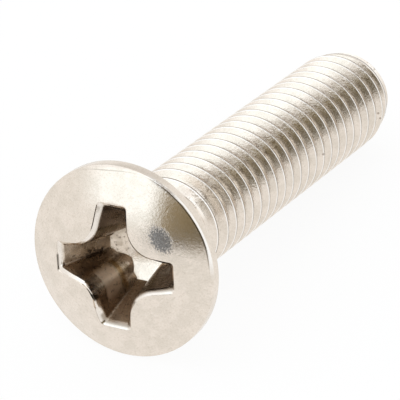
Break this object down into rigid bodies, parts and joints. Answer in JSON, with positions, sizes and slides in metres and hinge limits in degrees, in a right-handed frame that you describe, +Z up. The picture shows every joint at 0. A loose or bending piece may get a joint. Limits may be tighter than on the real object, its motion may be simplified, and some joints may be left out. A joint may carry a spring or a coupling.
{
  "type": "machine screw",
  "caption": "Raised countersunk machine screw with a cross recess and a full-length metric coarse thread, lying on its rim and thread.",
  "frame": {"origin": "on the surface the screw lies on, below the middle of its length", "axes": "+Z up, +Y from the head towards the tip, +X to the right of someone who looks from the head towards the tip"},
  "size_m": [0.0144, 0.0371, 0.0144],
  "materials": {
    "steel": "satin, slightly warm stainless steel with fine marks"
  },
  "bodies": {
    "root": {"machine_screw": "steel"}
  },
  "joints": []
}
